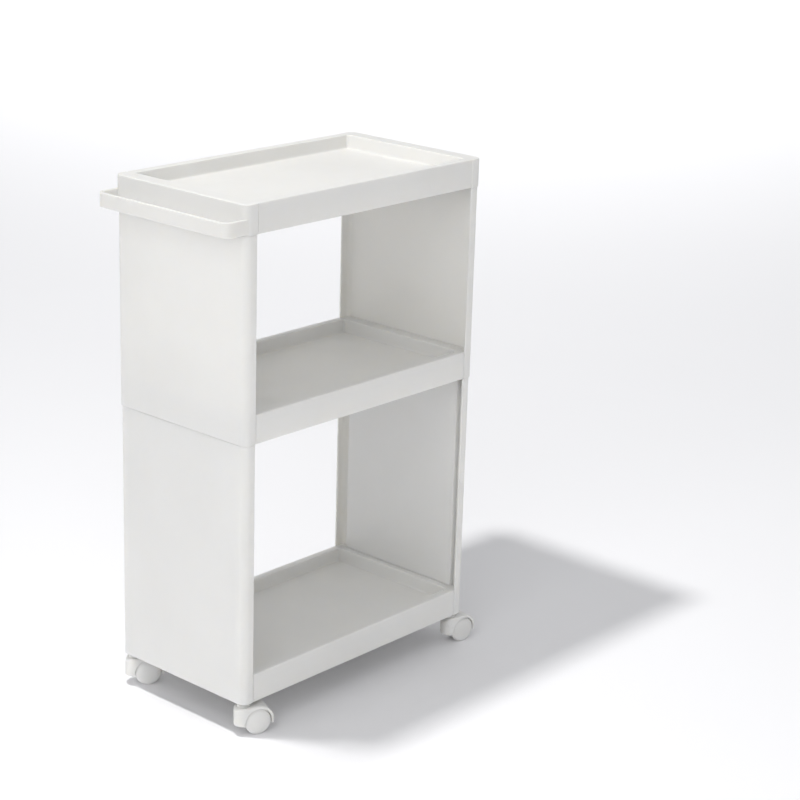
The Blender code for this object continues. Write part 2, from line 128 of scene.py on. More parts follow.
STEM_INSET = 0.0140
HEADINGS = {"rear_right": -22.0, "rear_left": -32.0, "front_right": -10.0, "front_left": 22.0}
STEMS = {
    "rear_right": (LOW_X + STEM_INSET, STEM_INSET - HALF_Y),
    "rear_left": (LOW_X + STEM_INSET, HALF_Y - STEM_INSET),
    "front_right": (HIGH_X - STEM_INSET, STEM_INSET - HALF_Y),
    "front_left": (HIGH_X - STEM_INSET, HALF_Y - STEM_INSET),
}

LEAST = 0.00002  # kept where a radius or a width would be nothing
QUARTER_TURN = math.radians(90)
STRAIGHT = 0.001  # a corner that turns less than this angle counts as straight
SHARP_ANGLE = math.radians(32.0)  # edges sharper than this are shaded sharp

# Profiles of turned pieces: (radius, height above the floor).
BOSS_PROFILE = [
    (0.0, BOTTOM_HIGH[2] - 0.0015),
    (0.0078, BOTTOM_HIGH[2] - 0.0015),
    (0.0078, BOTTOM_LOW[2] + 0.0004),
    (0.0075, BOTTOM_LOW[2] + 0.0001),
    (0.0062, BOTTOM_LOW[2] + 0.0001),
    (0.0061, BOTTOM_LOW[2] + 0.0003),
    (0.0061, 0.0790),
    (0.0, 0.0790),
]
SOCKET_PROFILE = [
    (0.0055, 0.0750),
    (0.0058, 0.0747),
    (0.0058, 0.0447),
    (0.0083, 0.0447),
    (0.0086, 0.0444),
    (0.0086, 0.0429),
    (0.0083, 0.0426),
    (0.0045, 0.0426),
    (0.0043, 0.0428),
    (0.0043, 0.0675),
    (0.0052, 0.0675),
    (0.0052, 0.0705),
    (0.0043, 0.0705),
    (0.0043, 0.0750),
]
STEM_PROFILE = [
    (0.0, 0.0735),
    (0.0030, 0.0735),
    (0.0036, 0.0733),
    (0.0040, 0.0728),
    (0.0040, 0.0703),
    (0.0032, 0.0701),
    (0.0032, 0.0679),
    (0.0040, 0.0677),
    (0.0040, 0.0425),
    (0.0038, 0.0423),
    (0.0030, 0.0423),
    (0.0030, 0.0205),
    (0.0028, 0.0203),
    (0.0, 0.0203),
]
RING_PROFILE = [
    (0.0049, 0.0698),
    (0.0049, 0.0682),
    (0.0047, 0.0680),
    (0.0037, 0.0680),
    (0.0035, 0.0682),
    (0.0035, 0.0698),
    (0.0037, 0.0700),
    (0.0047, 0.0700),
]
AXLE_PROFILE = [  # along the axle, from its middle
    (0.0, -0.0112),
    (0.0018, -0.0112),
    (0.0020, -0.0110),
    (0.0020, 0.0110),
    (0.0018, 0.0112),
    (0.0, 0.0112),
]


# ---------------------------------------------------------------- mesh helpers


def rounded_loop(corners):
    """A closed outline from (x, y, radius, steps) corners: every corner gives steps + 1 points."""
    points = []
    count = len(corners)
    for i, (x, y, radius, steps) in enumerate(corners):
        here = Vector((x, y))
        back = (Vector(corners[i - 1][:2]) - here).normalized()
        ahead = (Vector(corners[(i + 1) % count][:2]) - here).normalized()
        turn = math.pi - back.angle(ahead)
        if turn < STRAIGHT:
            for k in range(steps + 1):
                t = 2.0 * k / steps - 1.0
                points.append(here + (ahead if t > 0 else back) * abs(t) * radius)
            continue
        reach = radius * math.tan(turn / 2)
        centre = here + (back + ahead).normalized() * (radius / math.cos(turn / 2))
        start = here + back * reach - centre
        end = here + ahead * reach - centre
        for k in range(steps + 1):
            points.append(centre + start.slerp(end, k / steps) * radius)
    return points


def level(outline, z):
    """The points of a flat outline at the height z."""
    return [Vector((p[0], p[1], z)) for p in outline]


def loft(bm, loops):
    """Quads between loops with the same number of points, closed by a face at each end."""
    rings = [[bm.verts.new(p) for p in loop] for loop in loops]
    for low, high in zip(rings, rings[1:]):
        for i in range(len(low)):
            j = (i + 1) % len(low)
            bm.faces.new((low[i], low[j], high[j], high[i]))
    bm.faces.new(rings[0][::-1])
    bm.faces.new(rings[-1])


def turned(bm, profile, segments, closed=False, matrix=None):
    """A solid of revolution about Z. profile is (radius, z); radius 0 closes it on the axis."""
    rings = []
    for radius, z in profile:
        if radius < 1e-7:
            rings.append([bm.verts.new((0.0, 0.0, z))])
            continue
        ring = []
        for k in range(segments):
            a = math.tau * k / segments
            ring.append(bm.verts.new((radius * math.cos(a), radius * math.sin(a), z)))
        rings.append(ring)
    pairs = list(zip(rings, rings[1:]))
    if closed:
        pairs.append((rings[-1], rings[0]))
    for low, high in pairs:
        for i in range(segments):
            j = (i + 1) % segments
            if len(low) == 1:
                bm.faces.new((low[0], high[j], high[i]))
            elif len(high) == 1:
                bm.faces.new((low[i], low[j], high[0]))
            else:
                bm.faces.new((low[i], low[j], high[j], high[i]))
    if matrix is not None:
        verts = [v for ring in rings for v in ring]
        bmesh.ops.transform(bm, matrix=matrix, verts=verts)


def quarter(steps):
    """(sin, 1 - cos) pairs of a quarter turn, from (0, 0) to (1, 1)."""
    angles = [math.pi / 2 * k / steps for k in range(steps + 1)]
    return [(math.sin(a), 1.0 - math.cos(a)) for a in angles]


def block(bm, low, high, rounding=0.0004, steps=2):
    """A small block with all its edges rounded."""

    def outline(e):
        r = max(rounding - e, LEAST)
        return rounded_loop(
            [
                (high[0] - e, high[1] - e, r, steps),
                (low[0] + e, high[1] - e, r, steps),
                (low[0] + e, low[1] + e, r, steps),
                (high[0] - e, low[1] + e, r, steps),
            ]
        )

    loops = []
    for s, c in quarter(steps):
        loops.append(level(outline(rounding * (1.0 - s)), low[2] + rounding * c))
    for s, c in reversed(quarter(steps)):
        loops.append(level(outline(rounding * (1.0 - s)), high[2] - rounding * c))
    loft(bm, loops)


def add_object(bm, name):
    """An object from a bmesh, which is used up."""
    bmesh.ops.recalc_face_normals(bm, faces=bm.faces)
    mesh = bpy.data.meshes.new(name)
    bm.to_mesh(mesh)
    bm.free()
    obj = bpy.data.objects.new(name, mesh)
    bpy.context.scene.collection.objects.link(obj)
    return obj


def combined(body, steps):
    """The mesh of an object after Booleans with other objects. All of them are removed."""
    for tool, operation in steps:
        step = body.modifiers.new(operation, "BOOLEAN")
        step.operation = operation
        step.solver = "EXACT"
        step.object = tool
    bpy.context.view_layer.update()
    depsgraph = bpy.context.evaluated_depsgraph_get()
    mesh = bpy.data.meshes.new_from_object(body.evaluated_get(depsgraph))
    for obj in [body] + [tool for tool, operation in steps]:
        bpy.data.objects.remove(obj, do_unlink=True)
    return mesh


def make_piece(bm, name, body, node, material):
    """Turns a bmesh into a piece that rides on body and stands for the CAD node."""
    obj = add_object(bm, name)
    mesh = obj.data
    mesh.shade_smooth()
    mesh.set_sharp_from_angle(angle=SHARP_ANGLE)
    mesh.materials.append(material)
    modifier = obj.modifiers.new("Face weighted normals", "WEIGHTED_NORMAL")
    modifier.keep_sharp = True
    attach(obj, body)
    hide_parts(node)


# ---------------------------------------------------------------- materials


def node_maker(material):
    """A function that adds a node with its settings, the tree's link function, and the shader."""
    tree = material.node_tree

    def make(kind, **settings):
        node = tree.nodes.new(kind)
        for key, value in settings.items():
            if hasattr(node, key):
                setattr(node, key, value)
            else:
                node.inputs[key.replace("_", " ")].default_value = value
        return node

    return make, tree.links.new, tree.nodes["Principled BSDF"]


def tint(make, link, source, shader, low, high, span=(0.30, 0.70)):
    """Colours the shader by a node's Fac output: low below the span, high above it."""
    ramp = make("ShaderNodeValToRGB")
    for element, position, colour in zip(ramp.color_ramp.elements, span, (low, high)):
        element.position, element.color = position, colour
    link(source.outputs["Fac"], ramp.inputs["Fac"])
    link(ramp.outputs["Color"], shader.inputs["Base Color"])


def moulded_plastic(name, light, dark, rough, grain, subsurface, scale):
    """Injection-moulded plastic: faint flow marks, an even fine grain and slight gloss changes."""
    material = bpy.data.materials.new(name)
    material.use_nodes = True
    make, link, shader = node_maker(material)
    place = make("ShaderNodeTexCoord")

    flow = make("ShaderNodeTexNoise", Scale=7.0, Detail=3.0, Roughness=0.5)
    link(place.outputs["Object"], flow.inputs["Vector"])
    tint(make, link, flow, shader, dark, light)

    handling = make("ShaderNodeTexNoise", Scale=38.0, Detail=5.0, Roughness=0.6)
    link(place.outputs["Object"], handling.inputs["Vector"])
    gloss = make("ShaderNodeMapRange", From_Min=0.3, From_Max=0.7, To_Min=rough[0], To_Max=rough[1])
    link(handling.outputs["Fac"], gloss.inputs["Value"])
    link(gloss.outputs["Result"], shader.inputs["Roughness"])

    fine = make("ShaderNodeTexNoise", Scale=grain, Detail=2.0, Roughness=0.55)
    link(place.outputs["Object"], fine.inputs["Vector"])
    wave = make("ShaderNodeTexNoise", Scale=11.0, Detail=1.0, Roughness=0.4)
    link(place.outputs["Object"], wave.inputs["Vector"])
    waviness = make("ShaderNodeBump", Strength=0.25, Distance=0.0008)
    link(wave.outputs["Fac"], waviness.inputs["Height"])
    texture = make("ShaderNodeBump", Strength=0.16, Distance=0.00012)
    link(fine.outputs["Fac"], texture.inputs["Height"])
    link(waviness.outputs["Normal"], texture.inputs["Normal"])
    link(texture.outputs["Normal"], shader.inputs["Normal"])

    shader.inputs["IOR"].default_value = 1.49
    shader.inputs["Subsurface Weight"].default_value = subsurface
    shader.inputs["Subsurface Radius"].default_value = (1.0, 0.95, 0.85)
    shader.inputs["Subsurface Scale"].default_value = scale
    return material


def plated_steel(name):
    """Zinc-plated steel: fine turning marks and a mottled grey."""
    material = bpy.data.materials.new(name)
    material.use_nodes = True
    make, link, shader = node_maker(material)
    place = make("ShaderNodeTexCoord")
    mottle = make("ShaderNodeTexNoise", Scale=420.0, Detail=4.0, Roughness=0.6)
    link(place.outputs["Object"], mottle.inputs["Vector"])
    tint(make, link, mottle, shader, (0.46, 0.46, 0.48, 1.0), (0.70, 0.70, 0.71, 1.0))
    turning = make("ShaderNodeTexWave", Scale=900.0, Distortion=0.6, Detail=1.0)
    turning.bands_direction = "Z"
    link(place.outputs["Object"], turning.inputs["Vector"])
    gloss = make("ShaderNodeMapRange", To_Min=0.22, To_Max=0.42)
    link(mottle.outputs["Fac"], gloss.inputs["Value"])
    link(gloss.outputs["Result"], shader.inputs["Roughness"])
    bump = make("ShaderNodeBump", Strength=0.2, Distance=0.00005)
    link(turning.outputs["Fac"], bump.inputs["Height"])
    link(bump.outputs["Normal"], shader.inputs["Normal"])
    shader.inputs["Metallic"].default_value = 1.0
    return material


WHITE = moulded_plastic(
    "white_polypropylene",
    light=(0.818, 0.812, 0.790, 1.0),
    dark=(0.788, 0.782, 0.760, 1.0),
    rough=(0.36, 0.47),
    grain=2600.0,
    subsurface=0.60,
    scale=0.0040,
)
MILKY = moulded_plastic(
    "milky_caster_plastic",
    light=(0.82, 0.815, 0.795, 1.0),
    dark=(0.77, 0.765, 0.745, 1.0),
    rough=(0.26, 0.38),
    grain=3800.0,
    subsurface=0.55,
    scale=0.0060,
)
SOCKET = moulded_plastic(
    "socket_nylon",
    light=(0.70, 0.70, 0.685, 1.0),
    dark=(0.64, 0.64, 0.625, 1.0),
    rough=(0.38, 0.50),
    grain=3000.0,
    subsurface=0.15,
    scale=0.0020,
)
STEEL = plated_steel("zinc_plated_steel")


# ---------------------------------------------------------------- trays and shelves


class Tier:
    """A tray or shelf: its stepped outer skin, its sunken well and the ribs under its floor.

    Its long sides either stand proud of its ends, as a shelf's do between the end panels, or stand
    back from them, as the top tray's do over the panels' flanges.
    """

    def __init__(self, bottom, top, end_inset, rail_inset, step_x, radius):
        self.bottom, self.top = bottom, top
        self.end_inset, self.rail_inset = end_inset, rail_inset
        self.step_x, self.radius = step_x, radius
        self.rails_proud = rail_inset < end_inset

    def outline(self, end, half, low_turns, high_turns, radius, z):
        """A loop whose long sides turn four times near each end: (distance from the end, y).

        Every loop has the same number of points, so any two of them can be joined by quads.
        """
        far = [(HIGH_X - end, half, radius, 10)]
        far += [(HIGH_X - x, y, STEP_ROUND, 3) for x, y in high_turns]
        far += [(LOW_X + x, y, STEP_ROUND, 3) for x, y in reversed(low_turns)]
        far += [(LOW_X + end, half, radius, 10)]
        near = [(x, -y, r, n) for x, y, r, n in reversed(far)]
        return level(rounded_loop(far + near), z)

    def skin(self, inset, z):
        """The outer skin, or a loop inset from it."""
        end = HALF_Y - self.end_inset - inset
        rail = HALF_Y - self.rail_inset - inset
        step = self.step_x + (inset if self.rails_proud else -inset)
        high = [(step, end), (step, rail), (step + 0.002, rail), (step + 0.004, rail)]
        if self.rails_proud:
            low = [(x + NEAR_SLACK, y) for x, y in high]
        else:
            slot, past = rail - SLOT_DEPTH, self.step_x + SLOT_WIDTH + inset
            low = [(step, end), (step, slot), (past, slot), (past, rail)]
        radius = max(self.radius - inset, 0.001)
        return self.outline(self.end_inset + inset, end, low, high, radius, z)

    def plain(self, z):
        """A loop without steps, between the skin and the well."""
        half = HALF_Y - self.rail_inset - PLAIN_INSET
        offsets = PROUD_OFFSETS if self.rails_proud else SET_BACK_OFFSETS
        slack = NEAR_SLACK if self.rails_proud else 0.0
        high = [(self.step_x + offset, half) for offset in offsets]
        low = [(x + slack, y) for x, y in high]
        end = self.end_inset + PLAIN_INSET
        return self.outline(end, half, low, high, self.radius - PLAIN_INSET, z)

    def well(self, grow, z):
        """The wall of the well, or a loop that is larger than it by grow."""
        half = HALF_Y - self.rail_inset - SIDE_RIM + grow
        first = END_RIM + WELL_CORNER + 0.004
        turns = [(first + 0.002 * k, half) for k in range(4)]
        return self.outline(END_RIM - grow, half, turns, turns, WELL_CORNER + grow, z)

    def loops(self):
        """Loops from the floor's lower face out over the skin and the rim to its upper face."""
        top, bottom = self.top, self.bottom
        floor_top = top - WELL_DEPTH
        floor_bottom = floor_top - WALL
        ceiling = top - WALL
        e = EDGE_ROUND
        loops = []
        for s, c in quarter(4):
            grow = WALL - FLOOR_FILLET * (1.0 - s)
            loops.append(self.well(grow, floor_bottom + FLOOR_FILLET * c))
        loops += [self.well(WALL, ceiling), self.plain(ceiling), self.skin(WALL, ceiling)]
        for s, c in quarter(2):
            loops.append(self.skin(WALL - e * c, bottom + e * (1.0 - s)))
        for s, c in quarter(3):
            loops.append(self.skin(e * (1.0 - s), bottom + e * c))
        for s, c in quarter(5):
            loops.append(self.skin(RIM_ROUND * c, top - RIM_ROUND * (1.0 - s)))
        loops.append(self.plain(top))
        for s, c in quarter(4):
            loops.append(self.well(WELL_ROUND * (1.0 - s), top - WELL_ROUND * c))
        for s, c in quarter(5):
            grow = -WELL_DRAFT - FLOOR_FILLET * c
            loops.append(self.well(grow, floor_top + FLOOR_FILLET * (1.0 - s)))
        return loops

    def add_to(self, bm):
        loft(bm, self.loops())
        floor_bottom = self.top - WELL_DEPTH - WALL
        half = HALF_Y - self.rail_inset - WALL / 2
        for i in range(CROSS_RIBS):
            x = LOW_X + (HIGH_X - LOW_X) * (i + 1) / (CROSS_RIBS + 1)
            low = (x - RIB_HALF, -half, self.bottom + RIB_RISE)
            block(bm, low, (x + RIB_HALF, half, floor_bottom + WALL / 2))


def band_outline(e):
    """The towel bar seen from above, e inside its faces. Its ends run into the tray's corners."""
    outer = HALF_Y - ARM_INSET - e
    inner = HALF_Y - ARM_INSET - BAR_WALL + e
    tip, inside = BAR_TIP_X + e, BAR_TIP_X + BAR_WALL - e
    outer_root, inner_root = LOW_X + 0.7 * CORNER, LOW_X + 0.33 * CORNER
    return rounded_loop(
        [
            (outer_root, outer, 0.0002, 1),
            (tip, outer, BAR_CORNER - e, 12),
            (tip, -outer, BAR_CORNER - e, 12),
            (outer_root, -outer, 0.0002, 1),
            (inner_root, -inner, 0.0002, 1),
            (inside, -inner, BAR_CORNER - BAR_WALL + e, 10),
            (inside, inner, BAR_CORNER - BAR_WALL + e, 10),
            (inner_root, inner, 0.0002, 1),
        ]
    )


def add_towel_bar(bm):
    loops = []
    for s, c in quarter(4):
        loops.append(level(band_outline(BAR_ROUND * (1.0 - s)), BAR_BOTTOM + BAR_ROUND * c))
    for s, c in reversed(quarter(4)):
        loops.append(level(band_outline(BAR_ROUND * (1.0 - s)), BAR_TOP - BAR_ROUND * c))
    loft(bm, loops)


def build_tiers():
    """The top tray is one moulding with the towel bar. A shelf stands between the end panels."""
    top = Tier(TRAY_LOW[2], TRAY_HIGH[2], 0.0, RAIL_STEP, FLANGE_X, CORNER)
    between = WALL + GAP
    shelf_step = FLANGE_X + 0.0001
    shelf_corner = CORNER - between
    mid_ends, mid_sides = UPPER_INSET + between, UPPER_INSET + RAIL_STEP
    mid = Tier(MID_LOW[2], MID_HIGH[2], mid_ends, mid_sides, shelf_step, shelf_corner)
    low_ends, low_sides = LOWER_INSET + between, LOWER_INSET + RAIL_STEP
    bottom = Tier(BOTTOM_LOW[2], BOTTOM_HIGH[2], low_ends, low_sides, shelf_step, shelf_corner)

    tray, bar = bmesh.new(), bmesh.new()
    top.add_to(tray)
    add_towel_bar(bar)
    mesh = combined(add_object(tray, "tray_form"), [(add_object(bar, "bar_form"), "UNION")])
    bm = bmesh.new()
    bm.from_mesh(mesh)
    bpy.data.meshes.remove(mesh)
    make_piece(bm, "top_tray_moulding", "cart_body", "top_tray", WHITE)

    bm = bmesh.new()
    mid.add_to(bm)
    make_piece(bm, "mid_shelf_moulding", "cart_body", "mid_shelf", WHITE)

    bm = bmesh.new()
    bottom.add_to(bm)
    for x, y in STEMS.values():
        turned(bm, BOSS_PROFILE, 40, matrix=Matrix.Translation((x, y, 0.0)))
    make_piece(bm, "bottom_shelf_moulding", "cart_body", "bottom_shelf", WHITE)


# ---------------------------------------------------------------- end panels


def channel(end, inset, e):
    """An end panel seen from above, e inside its faces: end is -1 at the towel bar, else 1."""
    wall = HIGH_X - inset if end > 0 else LOW_X + inset
    free = (HIGH_X if end > 0 else LOW_X) - end * FLANGE_X
    half = HALF_Y - inset
    outer_x, inner_x = wall - end * e, wall - end * (WALL - e)
    outer_y, inner_y = half - e, half - WALL + e
    free += end * e
    side = [
        (free, outer_y, FREE_EDGE_ROUND, 4),
        (outer_x, outer_y, CORNER - e, 12),
        (outer_x, -outer_y, CORNER - e, 12),
        (free, -outer_y, FREE_EDGE_ROUND, 4),
        (free, -inner_y, FREE_EDGE_ROUND, 4),
        (inner_x, -inner_y, CORNER - WALL + e, 12),
        (inner_x, inner_y, CORNER - WALL + e, 12),
        (free, inner_y, FREE_EDGE_ROUND, 4),
    ]
    return rounded_loop(side)


def stiffener(end, e):
    """The inner wall of a lower panel seen from above, e inside its faces."""
    wall = HIGH_X - LOWER_INSET if end > 0 else LOW_X + LOWER_INSET
    root = wall - end * WALL / 2
    outer = HIGH_X if end > 0 else LOW_X
    face = outer - end * (STIFFENER_DEPTH - e)
    back = outer - end * (STIFFENER_DEPTH - STIFFENER_WALL + e)
    half = HALF_Y - STIFFENER_SIDE - e
    inner = HALF_Y - STIFFENER_SIDE - STIFFENER_WALL + e
    return rounded_loop(
        [
            (root, half, 0.0002, 1),
            (face, half, 0.0022, 8),
            (face, -half, 0.0022, 8),
            (root, -half, 0.0002, 1),
            (root, -inner, 0.0002, 1),
            (back, -inner, 0.0006, 4),
            (back, inner, 0.0006, 4),
            (root, inner, 0.0002, 1),
        ]
    )


def upright(bm, outline, bottom, top, rounding, seam=0.0):
    """An outline drawn up from bottom to top with rounded rims; seam is a step round the top."""
    loops = []
    for s, c in quarter(3):
        loops.append(level(outline(rounding * (1.0 - s)), bottom + rounding * c))
    rim = SEAM_ROUND if seam else rounding
    for s, c in reversed(quarter(3)):
        loops.append(level(outline(rim * (1.0 - s)), top - seam - rim * c))
    if seam:
        loops += [level(outline(seam), top - seam), level(outline(seam), top)]
    loft(bm, loops)


def add_tabs(bm, end, depth, low_z, high_z):
    """The two tabs that reach from a panel into the tray or shelf above it."""
    outer = HIGH_X if end > 0 else LOW_X
    near, far = sorted((outer - end * depth, outer - end * (depth + TAB_WALL)))
    for y in (-TAB_Y, TAB_Y):
        block(bm, (near, y - TAB_HALF, low_z), (far, y + TAB_HALF, high_z))


def build_panels():
    for name, end in (("handle_end", -1), ("far_end", 1)):
        node = name + "_upper_panel"
        bm = bmesh.new()
        low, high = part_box(node)
        top = TRAY_LOW[2] - GAP
        upright(bm, lambda e: channel(end, UPPER_INSET, e), low[2], top, PANEL_ROUND, SEAM)
        add_tabs(bm, end, WALL + GAP, top - TAB_ROOT, high[2])
        make_piece(bm, node + "_moulding", "cart_body", node, WHITE)

        node = name + "_lower_panel"
        bm = bmesh.new()
        low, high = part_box(node)
        top = MID_LOW[2] - GAP
        upright(bm, lambda e: channel(end, LOWER_INSET, e), low[2], top, PANEL_ROUND, SEAM)
        shelf_top = BOTTOM_HIGH[2] + GAP
        upright(bm, lambda e: stiffener(end, e), shelf_top, top, STIFFENER_ROUND)
        add_tabs(bm, end, STIFFENER_DEPTH - STIFFENER_WALL, top - TAB_ROOT, high[2])
        make_piece(bm, node + "_moulding", "cart_body", node, WHITE)


# ---------------------------------------------------------------- casters


def hood_stations():
    """Along the hood, from its nose to its tail: x, height of its top and half its width."""
    stations = []
    nose_x = NOSE_ROUND - HOOD_HALF
    for k in range(15):
        x = max(-HOOD_HALF * math.cos(math.pi / 2 * k / 14), LEAST - HOOD_HALF)
        z = HOOD_SHOULDER
        if x < nose_x:
            z += math.sqrt(max(NOSE_ROUND**2 - (x - nose_x) ** 2, 0.0)) - NOSE_ROUND
        stations.append((x, z, math.sqrt(HOOD_HALF**2 - x * x)))
    stations += [(x, HOOD_SHOULDER, HOOD_HALF) for x in (0.005, 0.010)]
    tail_x = TRAIL + HOOD_RADIUS - TAIL_ROUND
    for k in range(25):
        a = math.pi / 2 * (1.0 - k / 24)
        x = TRAIL + HOOD_RADIUS * math.cos(a)
        z = WHEEL_RADIUS + HOOD_RADIUS * math.sin(a)
        width = HOOD_HALF
        if x > tail_x:
            width -= TAIL_ROUND - math.sqrt(max(TAIL_ROUND**2 - (x - tail_x) ** 2, 0.0))
        stations.append((x, z, width))
    return stations


def hood_section(x, top, half):
    """A slice across the hood: a block with round upper edges."""
    r = min(HOOD_EDGE_ROUND, half * 0.8, (top - HOOD_SKIRT) * 0.6)
    points = [(x, -half, HOOD_SKIRT)]
    for s, c in quarter(7):
        points.append((x, -half + r * c, top - r * (1.0 - s)))
    for s, c in reversed(quarter(7)):
        points.append((x, half - r * c, top - r * (1.0 - s)))
    points.append((x, half, HOOD_SKIRT))
    return points


def turned_form(name, profile, segments, matrix=None):
    bm = bmesh.new()
    turned(bm, profile, segments, matrix=matrix)
    return add_object(bm, name)


def hood_mesh():
    """The hood: a shell over the wheels with a web between them, a hub and a collar."""
    bm = bmesh.new()
    loft(bm, [hood_section(*station) for station in hood_stations()])
    body = add_object(bm, "hood_form")

    across = Matrix.Translation((TRAIL, 0.0, WHEEL_RADIUS)) @ Matrix.Rotation(QUARTER_TURN, 4, "X")
    past = HOOD_HALF + 0.004
    room = [
        (0.0, WEB_HALF),
        (HOOD_WELL - 0.001, WEB_HALF),
        (HOOD_WELL, WEB_HALF + 0.001),
        (HOOD_WELL, past),
        (0.0, past),
    ]
    steps = []
    for side in (-1, 1):
        mirror = Matrix.Scale(side, 4, (0.0, 0.0, 1.0))
        steps.append((turned_form("hood_cutter", room, 96, across @ mirror), "DIFFERENCE"))
    hub = [(0.0, -WEB_HALF), (HUB_RADIUS, -WEB_HALF), (HUB_RADIUS, WEB_HALF), (0.0, WEB_HALF)]
    steps.append((turned_form("hood_hub", hub, 48, across), "UNION"))

    collar = [
        (0.0, HOOD_SHOULDER - 0.004),
        (COLLAR_RADIUS, HOOD_SHOULDER - 0.004),
        (COLLAR_RADIUS, HOOD_SHOULDER + 0.0004),
    ]
    for s, c in quarter(4):
        collar.append((COLLAR_RADIUS - COLLAR_ROUND * c, HOOD_TOP - COLLAR_ROUND * (1.0 - s)))
    collar += [(0.0034, HOOD_TOP), (0.0033, HOOD_TOP - 0.002), (0.0, HOOD_TOP - 0.002)]
    steps.append((turned_form("hood_collar", collar, 56), "UNION"))
    return combined(body, steps)


def wheel_profile():
    """Half of a wheel: a domed outer face, a rounded tread and a hollow back."""
    half = WHEEL_HALF
    profile = [(0.0, half)]
    for k in range(1, 25):
        t = math.sin(math.pi / 2 * k / 24)
        drop = WHEEL_DOME * (1.0 - math.sqrt(max(1.0 - t**3, 0.0)))
        profile.append((WHEEL_RADIUS * t, half - drop))
    profile += [(WHEEL_RADIUS, half - 0.0055), (WHEEL_RADIUS, 0.0006 - half)]
    profile += [(WHEEL_RADIUS - 0.0002, 0.0002 - half), (WHEEL_RADIUS - 0.0006, -half)]
    rim = WHEEL_RADIUS - 0.0025
    profile += [(rim + 0.0003, -half), (rim, 0.0003 - half), (rim, half - 0.0052)]
    profile += [(rim - 0.0007, half - 0.0045), (0.0067, half - 0.0045)]
    profile += [(0.0060, half - 0.0052), (0.0060, 0.0003 - half), (0.0057, -half)]
    profile += [(0.0023, -half), (0.0023, half - 0.0018), (0.0, half - 0.0018)]
    return profile


def add_wheel(bm):
    """A wheel on the Z axis, its outer face up, with spokes in its hollow back."""
    turned(bm, wheel_profile(), 72)
    low, high = (0.0056, -0.0005, 0.0008 - WHEEL_HALF), (0.0154, 0.0005, WHEEL_HALF - 0.0042)
    for k in range(SPOKES):
        before = set(bm.verts)
        block(bm, low, high, 0.0002, 1)
        fresh = [v for v in bm.verts if v not in before]
        turn = Matrix.Rotation(math.tau * k / SPOKES, 4, "Z")
        bmesh.ops.transform(bm, matrix=turn, verts=fresh)


def place_form(form, matrix, name, body, node, slot, material):
    """A piece from a mesh or from a function that draws it, moved to its place by matrix."""
    bm = bmesh.new()
    if isinstance(form, bpy.types.Mesh):
        bm.from_mesh(form)
    else:
        form(bm)
    bmesh.ops.transform(bm, matrix=matrix, verts=bm.verts)
    make_piece(bm, name, body, node, material)


def add_socket(bm):
    turned(bm, SOCKET_PROFILE, 48, closed=True)


def add_stem(bm):
    turned(bm, STEM_PROFILE, 48)


def add_ring(bm):
    turned(bm, RING_PROFILE, 48, closed=True)


def add_axle(bm):
    turned(bm, AXLE_PROFILE, 32)


def build_casters():
    hood = hood_mesh()
    middle = (WHEEL_INNER + WHEEL_OUTER) / 2
    steel = ("zinc_steel", STEEL)
    plastic = ("caster_plastic", MILKY)
    for place, (x, y) in STEMS.items():
        caster = place + "_caster"
        socket, stem, ring = caster + "_socket", caster + "_stem", caster + "_ring"
        here = Matrix.Translation((x, y, 0.0))
        turn = here @ Matrix.Rotation(math.radians(HEADINGS[place]), 4, "Z")
        place_form(
            add_socket, here, socket + "_moulding", "cart_body", socket, "socket_plastic", SOCKET
        )
        place_form(add_stem, turn, stem + "_bar", caster, stem, *steel)
        place_form(add_ring, turn, ring + "_spring", caster, ring, *steel)
        place_form(hood, turn, caster + "_hood_moulding", caster, caster + "_hood", *plastic)
        axle = turn @ Matrix.Translation((TRAIL, 0.0, WHEEL_RADIUS))
        across = axle @ Matrix.Rotation(QUARTER_TURN, 4, "X")
        place_form(add_axle, across, caster + "_axle_pin", caster, caster + "_axle", *steel)
        for side, sign in (("left", 1), ("right", -1)):
            spot = axle @ Matrix.Translation((0.0, sign * middle, 0.0))
            spot = spot @ Matrix.Rotation(-sign * QUARTER_TURN, 4, "X")
            node = f"{caster}_wheel_{side}"
            body = f"{place}_wheel_{side}"
            place_form(add_wheel, spot, node + "_tyre", body, node, *plastic)
    bpy.data.meshes.remove(hood)


build_tiers()
build_panels()
build_casters()


# ---------------------------------------------------------------- floor, light and camera

FLOOR_HALF = 16.0
HORIZON, ZENITH = 0.65, 0.46  # strength of the room's light, from the horizon up
KEY_POWER = 20.5
KEY_RADIUS = 0.055
KEY_PLACE = (-0.378, 0.116, 1.811)
SOFTBOX_POWER = 8.6
SOFTBOX_SIZE = 1.2
SOFTBOX_PLACE = (-1.45, -0.75, 1.45)
SOFTBOX_AIM = (LOW_X, 0.0, 0.45)
BACKDROP_POWER = 190.0
BACKDROP_SIZE = 10.0
BACKDROP_PLACE = (6.9, 6.2, 3.5)
BACKDROP_AIM = (6.9, 6.2, 0.0)
BACKDROP_SPREAD = math.radians(80)
CAMERA_PLACE = (LOW_X - 1.71074, -1.76130 - HALF_Y, 1.26134)
CAMERA_YAW = math.radians(48.55)
CAMERA_PITCH = math.radians(18.03)
CAMERA_ROLL = math.radians(1.75)
LENS = 95.37
SENSOR_WIDTH = 36.0


